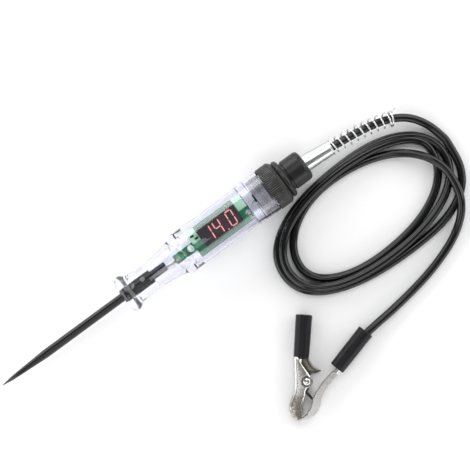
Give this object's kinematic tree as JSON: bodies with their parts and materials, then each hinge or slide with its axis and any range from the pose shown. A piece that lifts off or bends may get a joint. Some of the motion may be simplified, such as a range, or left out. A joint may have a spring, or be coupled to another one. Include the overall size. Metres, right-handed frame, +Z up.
{
  "type": "circuit test light",
  "caption": "Needle-probe circuit tester: clear handle with a lit voltage display, knurled screw cap, spring strain relief, loosely coiled lead and an alligator clip.",
  "frame": {"origin": "on the floor under the middle of the handle's length, needle point to cap end, without the lead and clip", "axes": "+X along the handle from the needle's point to the cap, +Z up from the surface it lies on, display facing +Z"},
  "size_m": [0.2549, 0.1165, 0.0235],
  "materials": {
    "probe_steel": "black polished steel",
    "clear_plastic": "clear moulded plastic",
    "board_green": "solder mask, glossy",
    "display_black": "dark tinted display face",
    "display_red": "lit segments",
    "gilt_wire": "bright gilt",
    "tinned_metal": "tinned, bright",
    "chip_black": "moulded epoxy",
    "resistor_body": "ceramic chip",
    "lamp_clear": "water-clear lamp dome",
    "cap_black": "satin moulded plastic",
    "seal_rubber": "soft rubber",
    "ferrule_metal": "bright plated",
    "spring_metal": "bright spring wire",
    "cable_black": "glossy soft plastic",
    "clip_nickel": "nickel-plated pressing",
    "sleeve_black": "soft dipped plastic",
    "copper_core": "bare stranded copper"
  },
  "bodies": {
    "root": {"probe_needle": "probe_steel", "clear_housing": "clear_plastic", "needle_lead": "gilt_wire", "circuit_board": "board_green", "display_case": "display_black", "display_digits": "display_red", "display_pins": "tinned_metal", "indicator_lamp": "lamp_clear", "control_chip": "chip_black", "clamp_diodes": "chip_black", "board_resistors": "resistor_body", "solder_joints": "tinned_metal", "lead_core": "copper_core", "lead_tail": "cable_black", "lead_clamp": "tinned_metal", "strain_relief_ferrule": "ferrule_metal", "strain_relief_spring": "spring_metal", "test_lead_near": "cable_black", "test_lead_coil": "cable_black", "test_lead_far": "cable_black", "clip_fixed_jaw": "clip_nickel", "clip_pivot_rivet": "clip_nickel", "clip_spring": "spring_metal", "clip_fixed_sleeve": "sleeve_black", "clip_lead_core": "copper_core"},
    "cap_carriage": {"cap_seal_ring": "seal_rubber"},
    "rear_cap": {"rear_cap": "cap_black"},
    "moving_jaw": {"clip_moving_jaw": "clip_nickel", "clip_moving_sleeve": "sleeve_black"}
  },
  "joints": [
    {"name": "cap_travel", "type": "slide", "parent": "root", "child": "cap_carriage", "axis": [1, 0, 0], "range_m": [0, 0.006]},
    {"name": "cap_turn", "type": "hinge", "parent": "cap_carriage", "child": "rear_cap", "pos_m": [0.08, 0, 0.01175], "axis": [1, 0, 0], "range_deg": [0, 2160]},
    {"name": "clip_jaw", "type": "hinge", "parent": "root", "child": "moving_jaw", "pos_m": [0.0299, -0.089, 0.004], "axis": [0, 0, -1], "range_deg": [0, 36], "stiffness_Nm_per_rad": 0.12, "springref_deg": -34.38}
  ],
  "couplings": [
    {"joint": "cap_travel", "follows": "cap_turn", "m_per_rad": 0.00015915}
  ]
}
